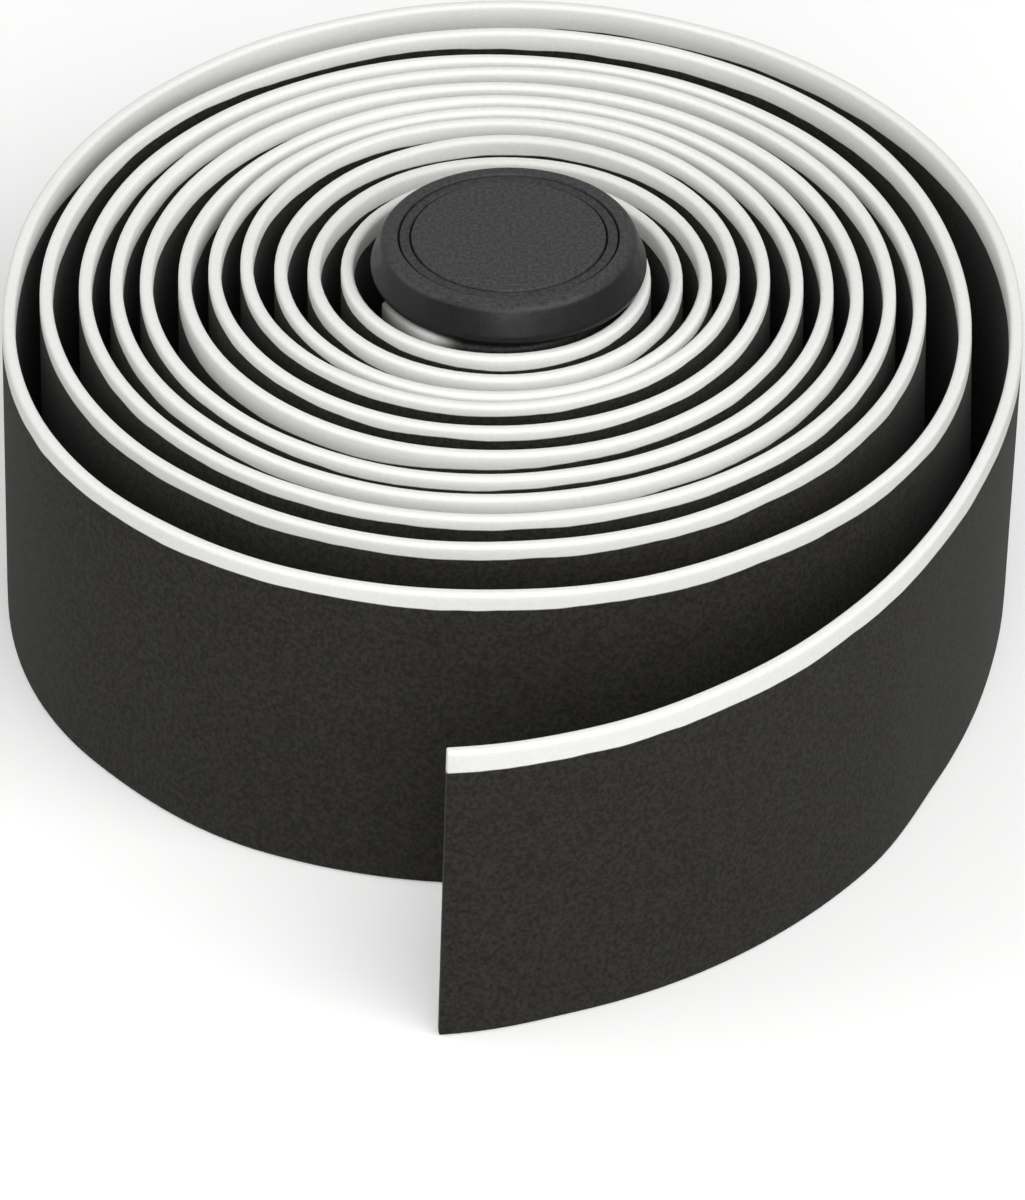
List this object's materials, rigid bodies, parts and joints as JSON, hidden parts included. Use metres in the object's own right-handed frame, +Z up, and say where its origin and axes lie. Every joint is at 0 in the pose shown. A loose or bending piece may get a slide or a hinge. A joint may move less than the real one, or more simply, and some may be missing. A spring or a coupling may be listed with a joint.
{
  "type": "handlebar tape roll",
  "caption": "Loosely wound roll of black foam handlebar tape with a white upper edge, standing on its lower edge, with a round bar end plug in its core and a free end in front.",
  "frame": {"origin": "on the ground, in the middle of the bounding box of the whole roll with its free end", "axes": "+Z up along the roll's axis and across the tape's width, -Y towards the front where the free end swings round, +X to the right"},
  "size_m": [0.0904, 0.1178, 0.034],
  "materials": {
    "foam_tape": "matte, fine grain, white upper edge",
    "plug_plastic": "satin, fine grain on top"
  },
  "bodies": {
    "root": {"tape": "foam_tape", "lever_strip": "foam_tape", "bar_end_plug": "plug_plastic"}
  },
  "joints": []
}
